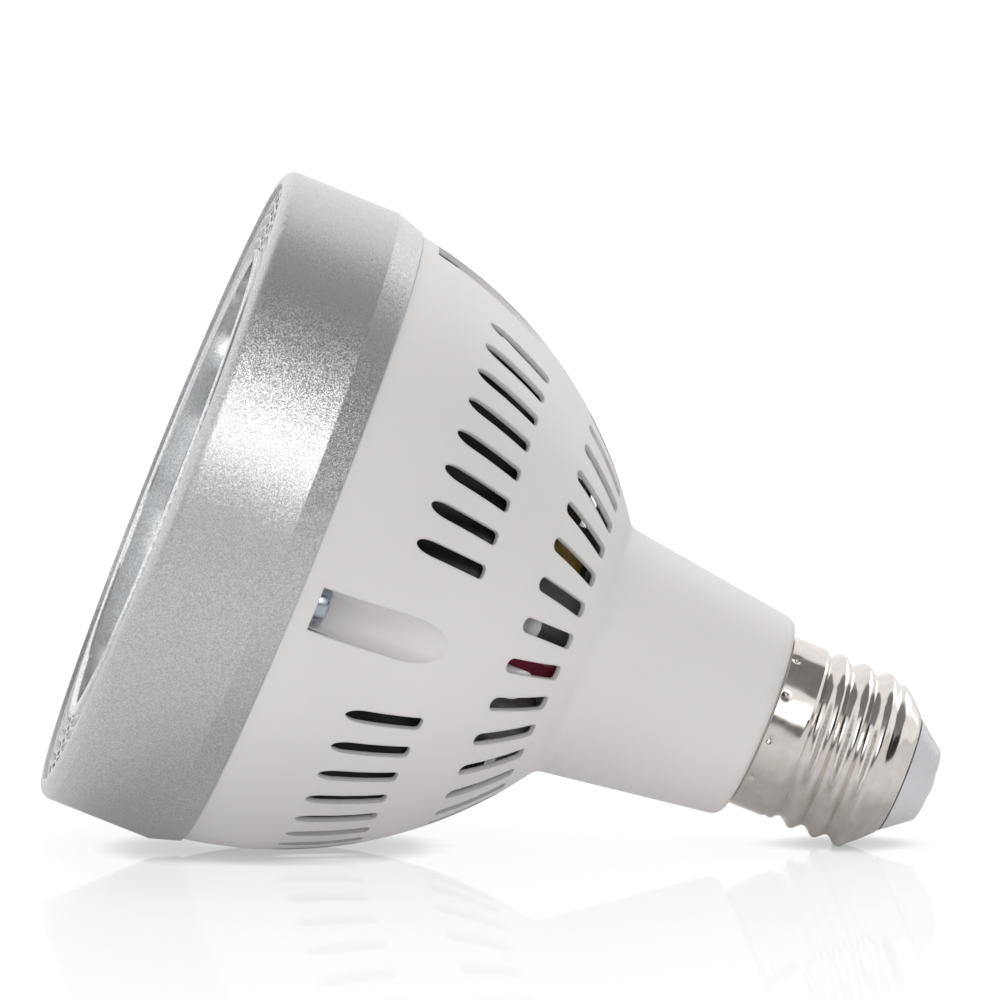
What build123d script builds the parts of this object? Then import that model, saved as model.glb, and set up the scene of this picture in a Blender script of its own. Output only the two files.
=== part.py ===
from build123d import *
import os
from math import asin, cos, hypot, sin, sqrt

# Fan-cooled reflector lamp with a screw cap, in millimetres and degrees.
# The origin is the centre of the front rim's plane and +Z runs along the axis to the cap.

# Front ring, an aluminium casting
ring_radius = 48.5
ring_straight = 17.2
ring_length = 21.4
ring_taper = 1.3
ring_wall = 2.2
rim_width = 2.4
rim_round = 1.8
land_width = 3.0
land_length = 4.0
ledge_width = 1.1
ledge_thickness = 1.6
grille_recess = 0.5
spoke_width = 3.0
spoke_depth = 5.0
boss_radius = 3.6
boss_length = 11.0
ring_screw_inset = 4.7
screw_count = 4

# Glass seat inside the front ring
opening_radius = 34.5
lip_wall = 1.7
lip_round = 0.6
lip_depth = 3.6
seat_step = 0.7
seat_tail = 1.6
glass_clearance = 0.3

# Air grille, an annular sheet with staggered slits
grille_thickness = 0.8
grille_gap = 0.15
slit_rows = 4
slits_per_row = 28
slit_length = 5.6
slit_bar = 0.54
grille_border = 0.75

# Cover glass, gasket and reflector
gasket_thickness = 0.5
glass_thickness = 2.5
reflector_wall = 0.6
reflector_crown = 1.6
reflector_flange = 1.1
collar_radius = 9.6
collar_length = 2.0

# Light source
emitter_radius = 7.5
emitter_thickness = 0.6
led_board_radius = 17.0
led_board_thickness = 1.5
led_screw_circle = 15.0
led_screw_count = 2

# Heat sink
sink_offset = 0.5
sink_inset = 1.7
sink_base = 4.0
fin_thickness = 1.2
fin_seat_gap = 1.0
fins_per_sector = 4
fin_pitch = 7.5
sink_gap = 0.3
fin_root = 0.5
lug_width = 8.0
post_radius = 2.9
ear_offset = 2.6
fan_mount_turn = 22.5

# Fan
fan_offset = 9.0
fan_clearance = 1.7
fan_wall = 2.6
fan_depth = 15.0
ear_thickness = 3.0
strut_count = 4
strut_width = 3.5
strut_depth = 2.3
motor_base_radius = 12.5
motor_base_thickness = 2.0
tube_radius = 4.0
bearing_radius = 2.6
bearing_length = 8.0
shaft_radius = 1.5
shaft_clearance = 0.05
shaft_end_gap = 0.3
hub_radius = 14.0
hub_wall = 1.5
hub_front_gap = 1.0
hub_back_gap = 1.0
magnet_wall = 1.3
magnet_inset = 1.0
air_gap = 0.7
stator_length = 4.0
pole_width = 3.0
pole_hub_wall = 1.2
pole_shoe_wall = 1.2
pole_shoe_width = 9.0
pole_count = 4
stator_clearance = 0.05
coil_width = 6.0
coil_overhang = 1.5
coil_inset = 0.3
blade_count = 7
blade_thickness = 1.0
blade_tip_gap = 1.5
blade_root_chord = 10.0
blade_tip_chord = 13.0
blade_root_pitch = 40.0
blade_tip_pitch = 25.0
blade_camber = 1.0
groove_width = 4.6
groove_depth = 1.7

# Driver board and what stands on it
board_gap = 3.0
board_thickness = 1.6
board_clearance = 1.4
board_turn = 33.1
pillar_inset = 3.5
pillar_radius = 2.3
pillar_bite = 0.2
pillar_turn = 50.625
component_headroom = 1.0
transformer_length = 9.4
transformer_width = 15.0
transformer_headroom = 2.8
transformer_yoke = 2.2
transformer_leg = 3.4
winding_gap = 0.1
bulk_capacitor_radius = 5.0
bulk_capacitor_height = 13.0
bulk_capacitor_inset = 6.3
output_capacitor_radius = 4.0
film_capacitor_length = 12.0
film_capacitor_width = 5.0
film_capacitor_round = 1.6
inductor_radius = 4.0
inductor_waist = 3.0
inductor_flange = 1.2
choke_radius = 4.2
choke_bore = 1.7
rectifier_length = 8.0
rectifier_width = 6.2
rectifier_height = 3.4
fuse_radius = 2.2
fuse_round = 1.8
can_round = 0.9

# Places on the driver board, along and across its turned axis, or in from its edge
output_capacitor_place = (12.6, 13.2)
film_capacitor_place = (12.0, 5.8)
transformer_place = (-0.6, -11.4)
rectifier_place = (-14.0, 9.0)
live_place = (-7.0, 3.0)
neutral_place = (-7.0, -3.0)
bulk_capacitor_across = -2.6
inductor_along = 4.0
inductor_inset = 10.7
choke_along = 14.0
choke_inset = 14.6
fuse_across = 0.3
fuse_inset = 7.4

# Leads
lead_radius = 0.65
lead_pitch = 2.2
lead_bend = 1.5
led_lead_inset = 4.1
led_lead_sink_radius = 12.5
lead_hole_clearance = 0.3
fan_lead_radius = 8.0
mains_lead_bend = 5.0
live_bend_rise = 1.4
live_bend_length = 7.0
neutral_rise = 5.9

# Housing, a plastic moulding
seam_step = 0.4
housing_wall = 0.8
dome_length = 44.0
dome_crown = 5.5
neck_radius = 18.9
neck_length = 27.5
neck_end_radius = 15.1
neck_root_round = 2.5
neck_end_round = 2.0
neck_floor = 1.6
spigot_radius = 12.4
spigot_bore = 10.6
spigot_length = 5.2
channel_width = 6.5
channel_seat = 2.9
front_slot_offset = 12.8
front_slot_run = 10.9
front_slot_width = 2.1
front_slot_nose = 2.8
front_slots_per_group = 8
front_slot_pitch = 7.75
rear_slot_offset = 32.0
rear_slot_run = 8.0
rear_slot_width = 2.2
rear_slot_nose = 1.0
rear_slot_count = 32
slot_corner = 0.7

# Screw cap
cap_wall = 0.4
cap_skirt_radius = 12.9
cap_skirt_length = 5.6
cap_thread_radius = 13.1
cap_thread_length = 11.5
cap_shoulder_length = 1.0
cap_mouth_radius = 8.4
cap_cone_length = 4.0
insulator_base_radius = 8.7
insulator_tip_radius = 5.3
insulator_height = 4.4
insulator_round = 1.2
insulator_tail = 3.2
insulator_fit = 0.1
contact_radius = 3.2
contact_height = 0.7
contact_pin_radius = 1.0

# Screws
ring_screw_radius = 1.5
ring_screw_head = 2.8
ring_screw_head_height = 1.9
ring_screw_length = 10.0
small_screw_radius = 1.25
small_screw_head = 2.2
small_screw_head_height = 1.4
small_screw_length = 5.5
led_screw_radius = 1.0
led_screw_head = 1.5
led_screw_head_height = 1.1
led_screw_length = 4.0
screw_clearance = 0.05

# Radii and stations along the axis that follow from the sizes above
ring_rear_radius = ring_radius - ring_taper
housing_radius = ring_rear_radius - seam_step
land_radius = ring_rear_radius - land_width
ring_screw_circle = housing_radius - ring_screw_inset
lip_radius = opening_radius + lip_wall
seat_radius = opening_radius + seat_step
sink_radius = seat_radius - sink_inset
channel_radius = channel_width / 2
grille_back = grille_recess + grille_thickness
glass_front = lip_depth + gasket_thickness
glass_back = glass_front + glass_thickness
seat_end = glass_back + reflector_wall + seat_tail
sink_front = ring_length + sink_offset
led_face = sink_front - led_board_thickness
sink_back = sink_front + sink_base
fan_front = ring_length + fan_offset
post_height = fan_front - sink_back
fan_back = fan_front + fan_depth
board_front = fan_back + board_gap
board_back = board_front + board_thickness
channel_floor = ring_length + channel_seat
front_slot_start = ring_length + front_slot_offset
front_slot_end = front_slot_start + front_slot_run
rear_slot_start = ring_length + rear_slot_offset
rear_slot_end = rear_slot_start + rear_slot_run
dome_end = ring_length + dome_length
neck_end = dome_end + neck_length
spigot_end = neck_end + spigot_length
skirt_end = neck_end + cap_skirt_length
thread_end = skirt_end + cap_thread_length
cone_start = thread_end + cap_shoulder_length
cap_end = cone_start + cap_cone_length
insulator_end = cap_end + insulator_height
sector = 360.0 / (2 * screw_count)

# The dome's profile is one arc that rises by the crown above its chord
dome_chord = hypot(housing_radius - neck_radius, dome_length)
dome_arc_radius = (dome_chord ** 2 / 4 + dome_crown ** 2) / (2 * dome_crown)
dome_out_r = dome_length / dome_chord
dome_out_z = (housing_radius - neck_radius) / dome_chord
dome_centre_r = (housing_radius + neck_radius) / 2 - dome_out_r * (dome_arc_radius - dome_crown)
dome_centre_z = ring_length + dome_length / 2 - dome_out_z * (dome_arc_radius - dome_crown)


def dome_radius_at(height, inset=0.0):
    """Radius of the dome, or of a surface inset from it, at a height."""
    return dome_centre_r + sqrt((dome_arc_radius - inset) ** 2 - (height - dome_centre_z) ** 2)


def dome_height_at(radius, inset=0.0):
    """Height where the dome, or a surface inset from it, has a radius."""
    return dome_centre_z + sqrt((dome_arc_radius - inset) ** 2 - (radius - dome_centre_r) ** 2)


def room_above_board(reach):
    """Height that a component has under the dome when it reaches out to a radius."""
    return dome_height_at(reach, housing_wall) - board_back - component_headroom


# Sizes and places of what fits inside the dome
sink_reach = min(land_radius, dome_radius_at(sink_back, housing_wall)) - sink_gap
sink_screw_circle = sink_reach - boss_radius
fan_radius = dome_radius_at(fan_back, housing_wall) - fan_clearance
fan_bore = fan_radius - fan_wall
fan_screw_circle = fan_radius + ear_offset
blade_tip_radius = fan_bore - blade_tip_gap
groove_floor = fan_radius - groove_depth
lead_groove_radius = groove_floor + lead_radius + lead_hole_clearance / 2
board_radius = dome_radius_at(board_back, housing_wall) - board_clearance
pillar_circle = board_radius - pillar_inset
led_lead_board_radius = board_radius - led_lead_inset
throat_radius = neck_radius - housing_wall
bulk_capacitor_place = (throat_radius - bulk_capacitor_inset, bulk_capacitor_across)
inductor_place = (inductor_along, board_radius - inductor_inset)
choke_place = (choke_along, choke_inset - board_radius)
fuse_place = (board_radius - fuse_inset, fuse_across)


# Shared shape helpers

def turned(profile):
    """Revolve a profile drawn as (radius, height) about the axis."""
    return revolve(Plane.XZ * profile, Axis.Z)


def outline(*points):
    """Closed straight-sided profile through (radius, height) points."""
    return make_face(Polyline(*points, close=True))


def softened(profile, corner, radius):
    """Round the profile corner nearest to a point."""
    return fillet(profile.vertices().sort_by_distance((*corner, 0))[:1], radius)


def tube(outer, inner, low, high):
    """Plain ring between two heights."""
    return turned(outline((inner, low), (outer, low), (outer, high), (inner, high)))


def rod(radius, low, high):
    """Plain round bar on the axis between two heights."""
    return Pos(0, 0, low) * Cylinder(radius, high - low, align=(Align.CENTER, Align.CENTER, Align.MIN))


def block(low_x, high_x, width, low, high):
    """Box along +X, centred across Y, between two heights."""
    shape = Box(high_x - low_x, width, high - low, align=(Align.MIN, Align.CENTER, Align.MIN))
    return Pos(low_x, 0, low) * shape


def around(shape, count, turn=0.0):
    """Copies of a shape spread evenly about the axis."""
    return [Rot(0, 0, turn + 360.0 * step / count) * shape for step in range(count)]


def in_groups(shape, groups, count, pitch, turn=0.0):
    """Copies of a shape in evenly spread groups, each centred on its own bearing."""
    first = turn - pitch * (count - 1) / 2
    return [copy for step in range(count) for copy in around(shape, groups, first + step * pitch)]


def on_board(shape, place):
    """Stand a shape, built on the board's back face, at its place on the turned board."""
    return Rot(0, 0, board_turn) * Pos(place[0], place[1], board_back) * shape


def screw(shank, head, head_height, length):
    """Screw with its head seat at height 0 and its shank down."""
    return rod(shank, -length, 0) + rod(head, 0, head_height)


def separate(shapes):
    """One node that holds several solids."""
    return Compound(children=[solid for shape in shapes for solid in shape.solids()])


def dome_arc(inset, low, high):
    """Arc of the dome's profile between two heights."""
    middle = (low + high) / 2
    points = [(dome_radius_at(height, inset), height) for height in (low, middle, high)]
    return ThreePointArc(*points)


def dome_cavity(inset):
    """Solid that fills the housing inside a surface inset from the dome and neck."""
    throat = neck_radius - inset
    throat_height = dome_height_at(throat, inset)
    floor = neck_end - neck_floor
    walls = dome_arc(inset, ring_length, throat_height) + Polyline(
        (throat, throat_height),
        (neck_end_radius - inset, floor),
        (0, floor),
        (0, ring_length),
        (dome_radius_at(ring_length, inset), ring_length),
    )
    return turned(make_face(walls))


def front_ring():
    """Outer wall, rim and rear land joined to the glass seat by eight spokes with screw bosses."""
    inner = ring_radius - ring_wall
    ledge = ring_radius - rim_width
    land_start = ring_length - land_length
    shell = outline(
        (ledge, 0),
        (ring_radius, 0),
        (ring_radius, ring_straight),
        (ring_rear_radius, ring_length),
        (land_radius, ring_length),
        (land_radius, land_start),
        (inner, land_start - (inner - land_radius)),
        (inner, grille_back + ledge_thickness),
        (ledge - ledge_width, grille_back + ledge_thickness),
        (ledge - ledge_width, grille_back),
        (ledge, grille_back),
    )
    shell = softened(shell, (ring_radius, 0), rim_round)
    seat_outer = lip_radius + ledge_width
    seat = outline(
        (opening_radius, 0),
        (lip_radius, 0),
        (lip_radius, grille_back),
        (seat_outer, grille_back),
        (seat_outer, seat_end),
        (seat_radius, seat_end),
        (seat_radius, lip_depth),
        (opening_radius, lip_depth),
    )
    seat = softened(seat, (opening_radius, 0), lip_round)
    seat = softened(seat, (lip_radius, 0), lip_round)
    ring = turned(shell) + turned(seat)
    spoke = block(lip_radius, inner + ring_wall / 2, spoke_width, grille_back, grille_back + spoke_depth)
    ring += around(spoke, 2 * screw_count)
    for circle, top, turn in (
        (ring_screw_circle, ring_length, sector),
        (sink_screw_circle, sink_front, 0.0),
    ):
        boss = Pos(circle, 0, 0) * rod(boss_radius, top - boss_length, top)
        web = block(circle, inner + ring_wall / 2, 2 * boss_radius, top - boss_length, ring_straight)
        hole = Pos(circle, 0, 0) * rod(ring_screw_radius + screw_clearance, top - ring_screw_length, top)
        ring += around(boss + web, screw_count, turn)
        ring -= around(hole, screw_count, turn)
    return ring


def air_grille():
    """Annular sheet with staggered rows of pointed slits."""
    outer = ring_radius - rim_width - grille_gap
    inner = lip_radius + grille_gap
    pitch = (outer - inner - 2 * grille_border) / slit_rows
    first = inner + grille_border + pitch / 2
    half = (pitch - slit_bar) / 2
    slit = outline(
        (0, -slit_length / 2),
        (half, -slit_length / 4),
        (half, slit_length / 4),
        (0, slit_length / 2),
        (-half, slit_length / 4),
        (-half, -slit_length / 4),
    )
    stagger = 180.0 / slits_per_row
    slits = []
    for row in range(slit_rows):
        placed = Pos(first + row * pitch, 0) * slit
        slits += around(placed, slits_per_row, stagger * (row % 2))
    sheet = Circle(outer) - Circle(inner) - slits
    return Pos(0, 0, grille_recess) * extrude(sheet, amount=grille_thickness)


def glass_gasket():
    """Flat ring between the seat's shoulder and the glass."""
    return tube(seat_radius - glass_clearance / 3, opening_radius, lip_depth, glass_front)


def cover_glass():
    """Clear round pane."""
    return rod(seat_radius - glass_clearance, glass_front, glass_back)


def reflector():
    """Spun bowl with a flange against the glass and a collar on the light source."""
    flange_radius = seat_radius - glass_clearance
    mouth = flange_radius - reflector_flange
    bowl_end = led_face - collar_length
    flange_back = glass_back + reflector_wall
    wall = reflector_wall

    def bowl(offset, start):
        low = (mouth - wall + offset, start)
        high = (collar_radius + offset, bowl_end)
        middle = ((low[0] + high[0]) / 2 + reflector_crown, (low[1] + high[1]) / 2 + reflector_crown)
        return ThreePointArc(low, middle, high)

    inside = bowl(0.0, glass_back)
    outside = bowl(wall, flange_back)
    profile = inside + outside + Polyline(
        (collar_radius, bowl_end),
        (collar_radius, led_face),
        (collar_radius + wall, led_face),
        (collar_radius + wall, bowl_end),
    ) + Polyline(
        (mouth, flange_back),
        (flange_radius, flange_back),
        (flange_radius, glass_back),
        (mouth - wall, glass_back),
    )
    return turned(make_face(profile))


def led_board():
    """Round metal-core board with screw holes."""
    board = rod(led_board_radius, led_face, sink_front)
    hole = Pos(led_screw_circle, 0, 0) * rod(led_screw_radius + screw_clearance, led_face, sink_front)
    return board - around(hole, led_screw_count)


def led_emitter():
    """Disc of phosphor on the board's face."""
    return rod(emitter_radius, led_face - emitter_thickness, led_face)


def led_screws():
    """Screws that hold the board to the heat sink, heads to the front."""
    one = screw(led_screw_radius, led_screw_head, led_screw_head_height, led_screw_length)
    one = Pos(led_screw_circle, 0, led_face) * Rot(180, 0, 0) * one
    return separate(around(one, led_screw_count))


def heat_sink():
    """Base plate with radial fins in the air path, lugs for the ring and posts for the fan."""
    sink = rod(sink_radius, sink_front, sink_back)
    lug = block(0, sink_screw_circle, lug_width, sink_front, sink_back)
    lug += Pos(sink_screw_circle, 0, 0) * rod(boss_radius, sink_front, sink_back)
    sink += around(lug, screw_count)
    fin = block(sink_radius - fin_root, sink_reach, fin_thickness, seat_end + fin_seat_gap, sink_back)
    sink += in_groups(fin, 2 * screw_count, fins_per_sector, fin_pitch, sector / 2)
    arm = block(0, fan_screw_circle, 2 * post_radius, sink_front, sink_back)
    arm += Pos(fan_screw_circle, 0, 0) * rod(post_radius, sink_front, fan_front)
    sink += around(arm, screw_count, fan_mount_turn)
    notch = rod(channel_radius + housing_wall + sink_gap, sink_front, sink_back)
    sink -= around(Pos(ring_screw_circle, 0, 0) * notch, screw_count, sector)
    bolt_hole = rod(ring_screw_radius + screw_clearance, sink_front, sink_back)
    sink -= around(Pos(sink_screw_circle, 0, 0) * bolt_hole, screw_count)
    post_hole = rod(small_screw_radius + screw_clearance, fan_front - small_screw_length, fan_front)
    sink -= around(Pos(fan_screw_circle, 0, 0) * post_hole, screw_count, fan_mount_turn)
    led_hole = rod(led_screw_radius + screw_clearance, sink_front, sink_back)
    sink -= around(Pos(led_screw_circle, 0, 0) * led_hole, led_screw_count)
    lead_hole = rod(lead_radius + lead_hole_clearance, sink_front, sink_back)
    for side in (-1, 1):
        place = Pos(-led_lead_sink_radius, side * lead_pitch / 2, 0)
        sink -= Rot(0, 0, board_turn) * place * lead_hole
    return sink


def heat_sink_screws():
    """Screws through the lugs into the front ring's bosses."""
    one = screw(ring_screw_radius, ring_screw_head, ring_screw_head_height, ring_screw_length)
    return separate(around(Pos(sink_screw_circle, 0, sink_back) * one, screw_count))


def fan_frame():
    """Round duct with mounting ears, struts to the motor base, a bearing tube and a lead groove."""
    frame = tube(fan_radius, fan_bore, fan_front, fan_back)
    ear = block(fan_bore, fan_screw_circle, 2 * post_radius, fan_front, fan_front + ear_thickness)
    ear += Pos(fan_screw_circle, 0, 0) * rod(post_radius, fan_front, fan_front + ear_thickness)
    ear -= rod(fan_bore, fan_front, fan_back)
    frame += around(ear, screw_count, fan_mount_turn)
    strut = block(tube_radius, (fan_bore + fan_radius) / 2, strut_width, fan_back - strut_depth, fan_back)
    frame += around(strut, strut_count, fan_mount_turn)
    frame += rod(motor_base_radius, fan_back - motor_base_thickness, fan_back)
    bearing_back = fan_back - motor_base_thickness - shaft_end_gap
    frame += rod(tube_radius, bearing_back - bearing_length, fan_back)
    frame -= rod(bearing_radius, bearing_back - bearing_length, bearing_back + shaft_end_gap)
    hole = rod(small_screw_radius + screw_clearance, fan_front, fan_front + ear_thickness)
    frame -= around(Pos(fan_screw_circle, 0, 0) * hole, screw_count, fan_mount_turn)
    groove = block(-2 * fan_radius, -groove_floor, groove_width, fan_front, fan_back)
    return frame - Rot(0, 0, board_turn) * groove


def fan_bearing():
    """Bronze sleeve in the frame's tube."""
    back = fan_back - motor_base_thickness - shaft_end_gap
    return tube(bearing_radius, shaft_radius + shaft_clearance, back - bearing_length, back)


def stator_span():
    """Lowest and highest point of the stator core, centred in the hub."""
    middle = (fan_front + hub_front_gap + hub_wall + fan_back - motor_base_thickness - hub_back_gap) / 2
    return middle - stator_length / 2, middle + stator_length / 2


def stator_radius():
    """Outside of the stator's poles."""
    return hub_radius - hub_wall - magnet_wall - air_gap


def fan_stator():
    """Laminated core with a hub ring, arms and pole shoes."""
    low, high = stator_span()
    outer = stator_radius()
    core = rod(tube_radius + pole_hub_wall, low, high)
    arm = block(tube_radius, outer - pole_shoe_wall / 2, pole_width, low, high)
    shoe = tube(outer, outer - pole_shoe_wall, low, high) & block(0, outer, pole_shoe_width, low, high)
    core += around(arm + shoe, pole_count)
    return core - rod(tube_radius + stator_clearance, low, high)


def fan_coils():
    """One copper winding round each stator arm."""
    low, high = stator_span()
    inner = tube_radius + pole_hub_wall + coil_inset
    outer = stator_radius() - pole_shoe_wall - coil_inset * 3
    coil = block(inner, outer, coil_width, low - coil_overhang, high + coil_overhang)
    coil -= block(inner, outer, pole_width, low, high)
    return separate(around(coil, pole_count))


def fan_rotor():
    """Cup-shaped hub with twisted blades."""
    front = fan_front + hub_front_gap
    back = fan_back - motor_base_thickness - hub_back_gap
    inside = hub_radius - hub_wall
    hub = outline(
        (shaft_radius, front),
        (hub_radius, front),
        (hub_radius, back),
        (inside, back),
        (inside, front + hub_wall),
        (shaft_radius, front + hub_wall),
    )
    rotor = turned(softened(hub, (hub_radius, front), hub_wall / 2))
    middle = (front + back) / 2

    def section(radius, chord, pitch):
        plane = Plane(origin=(radius, 0, middle), x_dir=(0, 1, 0), z_dir=(1, 0, 0))
        half = chord / 2
        shape = outline(
            (-half, 0),
            (0, blade_camber),
            (half, 0),
            (half, blade_thickness),
            (0, blade_camber + blade_thickness),
            (-half, blade_thickness),
        )
        return plane * Rot(0, 0, pitch) * shape

    root = section(hub_radius - hub_wall / 2, blade_root_chord, blade_root_pitch)
    tip = section(blade_tip_radius, blade_tip_chord, blade_tip_pitch)
    blade = loft([root, tip], ruled=True) - rod(hub_radius - hub_wall / 2, front, back)
    return rotor + around(blade, blade_count)


def rotor_magnet():
    """Ring magnet inside the hub."""
    front = fan_front + hub_front_gap + hub_wall
    back = fan_back - motor_base_thickness - hub_back_gap
    outer = hub_radius - hub_wall
    return tube(outer, outer - magnet_wall, front + magnet_inset, back)


def rotor_shaft():
    """Steel shaft pressed into the hub and running in the bearing."""
    back = fan_back - motor_base_thickness - shaft_end_gap
    return rod(shaft_radius, fan_front + hub_front_gap, back)


def fan_screws():
    """Screws through the fan's ears into the heat sink's posts."""
    one = screw(small_screw_radius, small_screw_head, small_screw_head_height, small_screw_length)
    one = Pos(fan_screw_circle, 0, fan_front + ear_thickness) * one
    return separate(around(one, screw_count, fan_mount_turn))


def driver_board():
    """Round circuit board with screw and lead holes."""
    board = rod(board_radius, board_front, board_back)
    hole = rod(small_screw_radius + screw_clearance, board_front, board_back)
    board -= around(Pos(pillar_circle, 0, 0) * hole, screw_count, pillar_turn)
    lead_hole = rod(lead_radius + lead_hole_clearance, board_front, board_back)
    for side in (-1, 1):
        place = Pos(-led_lead_board_radius, side * lead_pitch / 2, 0)
        board -= Rot(0, 0, board_turn) * place * lead_hole
    return board


def board_screws():
    """Screws from the board's front face into the housing's pillars."""
    one = screw(small_screw_radius, small_screw_head, small_screw_head_height, small_screw_length)
    one = Pos(pillar_circle, 0, board_front) * Rot(180, 0, 0) * one
    return separate(around(one, screw_count, pillar_turn))


def transformer_height():
    """Height of the core under the dome at its outer corner."""
    along = abs(transformer_place[0]) + transformer_width / 2
    across = abs(transformer_place[1]) + transformer_length / 2
    return room_above_board(hypot(along, across)) - transformer_headroom


def transformer_core():
    """Ferrite core: two yokes joined by outer legs and a middle leg."""
    length, width, height = transformer_length, transformer_width, transformer_height()
    base = (Align.CENTER, Align.CENTER, Align.MIN)
    core = Box(width, length, height, align=base)
    window = length - 2 * transformer_yoke
    side = (height - 3 * transformer_leg / 2) / 2
    low_window = Box(width, window, side, align=base)
    core -= Pos(0, 0, transformer_leg / 4) * low_window
    core -= Pos(0, 0, height - transformer_leg / 4 - side) * low_window
    return on_board(core, transformer_place)


def transformer_winding():
    """Taped winding round the core's middle leg."""
    height = transformer_height()
    window = transformer_length - 2 * transformer_yoke - 2 * winding_gap
    side = (height - 3 * transformer_leg / 2) / 2
    low = transformer_leg / 4 + winding_gap
    high = height - transformer_leg / 4 - winding_gap
    leg_low = transformer_leg / 4 + side
    base = (Align.CENTER, Align.CENTER, Align.MIN)
    outer_width = transformer_width + 2 * side
    winding = Pos(0, 0, low) * Box(outer_width, window, high - low, align=base)
    winding = fillet(winding.edges().filter_by(Axis.Y), side / 3)
    leg = Box(transformer_width + winding_gap, window, height - 2 * leg_low, align=base)
    winding -= Pos(0, 0, leg_low) * leg
    return on_board(winding, transformer_place)


def electrolytic(radius, height):
    """Round can with a rounded top edge."""
    profile = outline((0, 0), (radius, 0), (radius, height), (0, height))
    return turned(softened(profile, (radius, height), can_round))


def bulk_capacitor():
    """Large electrolytic can."""
    return on_board(electrolytic(bulk_capacitor_radius, bulk_capacitor_height), bulk_capacitor_place)


def output_capacitor():
    """Smaller electrolytic can."""
    height = room_above_board(hypot(*output_capacitor_place) + output_capacitor_radius)
    return on_board(electrolytic(output_capacitor_radius, height), output_capacitor_place)


def film_capacitor():
    """Dipped film capacitor with rounded upright corners and top."""
    base = (Align.CENTER, Align.CENTER, Align.MIN)
    along = film_capacitor_place[0] + film_capacitor_length / 2
    across = film_capacitor_place[1] + film_capacitor_width / 2
    height = room_above_board(hypot(along, across))
    body = Box(film_capacitor_length, film_capacitor_width, height, align=base)
    body = fillet(body.edges().filter_by(Axis.Z), film_capacitor_round)
    return on_board(body, film_capacitor_place)


def drum_inductor():
    """Ferrite drum with a wound waist."""
    height = room_above_board(hypot(*inductor_place) + inductor_radius)
    profile = outline(
        (0, 0),
        (inductor_radius, 0),
        (inductor_radius, inductor_flange),
        (inductor_waist, inductor_flange),
        (inductor_waist, height - inductor_flange),
        (inductor_radius, height - inductor_flange),
        (inductor_radius, height),
        (0, height),
    )
    return on_board(turned(profile), inductor_place)


def input_choke():
    """Wound ring core standing flat on the board."""
    height = room_above_board(hypot(*choke_place) + choke_radius)
    return on_board(tube(choke_radius, choke_bore, 0, height), choke_place)


def bridge_rectifier():
    """Flat moulded block."""
    base = (Align.CENTER, Align.CENTER, Align.MIN)
    body = Box(rectifier_length, rectifier_width, rectifier_height, align=base)
    return on_board(body, rectifier_place)


def fuse_resistor():
    """Upright resistor in a pale sleeve with a rounded end."""
    height = room_above_board(hypot(*fuse_place) + fuse_radius)
    profile = outline((0, 0), (fuse_radius, 0), (fuse_radius, height), (0, height))
    body = turned(softened(profile, (fuse_radius, height), fuse_round))
    return on_board(body, fuse_place)


def swept_lead(points, bend):
    """Round wire along straight runs joined by arcs."""
    path = FilletPolyline(*points, radius=bend)
    start = Plane(origin=path @ 0, z_dir=path % 0)
    return sweep(start * Circle(lead_radius), path=path)


def led_lead(side):
    """Wire from the driver board, along the fan's groove, to the back of the light board."""
    across = side * lead_pitch / 2
    over_fan = (fan_back + board_front) / 2
    over_sink = (sink_back + fan_front) / 2
    points = [
        (-led_lead_board_radius, across, board_back),
        (-led_lead_board_radius, across, over_fan),
        (-lead_groove_radius, across, over_fan),
        (-lead_groove_radius, across, over_sink),
        (-led_lead_sink_radius, across, over_sink),
        (-led_lead_sink_radius, across, sink_front),
    ]
    return Rot(0, 0, board_turn) * swept_lead(points, min(lead_bend, board_gap / 2, post_height / 2))


def fan_leads():
    """Pair of short wires from the fan's motor base to the driver board."""
    wire = rod(lead_radius, fan_back, board_front)
    pair = [Pos(fan_lead_radius, side * lead_pitch / 2, 0) * wire for side in (-1, 1)]
    return separate([Rot(0, 0, board_turn) * one for one in pair])


def live_lead():
    """Wire from the driver board to the centre contact's pin."""
    pin_end = cap_end - insulator_tail
    bend_start = skirt_end + live_bend_rise
    bend_end = bend_start + live_bend_length
    points = [
        (*live_place, board_back),
        (*live_place, bend_start),
        (0, 0, bend_end),
        (0, 0, pin_end),
    ]
    bend = min(mains_lead_bend, pin_end - bend_end)
    return Rot(0, 0, board_turn) * swept_lead(points, bend)


def neutral_lead():
    """Wire from the driver board to the inside of the cap's shell."""
    reach = hypot(*neutral_place)
    wall = (cap_thread_radius - cap_wall - lead_radius / 4) / reach
    turn_height = spigot_end + neutral_rise
    points = [
        (*neutral_place, board_back),
        (*neutral_place, turn_height),
        (neutral_place[0] * wall, neutral_place[1] * wall, turn_height),
    ]
    return Rot(0, 0, board_turn) * swept_lead(points, lead_bend)


def slot_cutter(start, end, width, nose):
    """Cutter for one air slot, square to the dome between two heights, with a drawn-out front end."""
    inward = dome_radius_at(start) - dome_radius_at(end)
    rise = end - start
    length = hypot(inward, rise)
    half = width / 2
    tip = EllipticalCenterArc((nose, 0), nose, half, start_angle=90, arc_size=180)
    edge = Polyline((nose, half), (length, half), (length, -half), (nose, -half))
    profile = softened(make_face(edge + tip), (length, half), slot_corner)
    profile = softened(profile, (length, -half), slot_corner)
    plane = Plane((dome_radius_at(start), 0, start), x_dir=(-inward, 0, rise), z_dir=(rise, 0, inward))
    return extrude(plane * profile, amount=2 * housing_wall, both=True)


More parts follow.
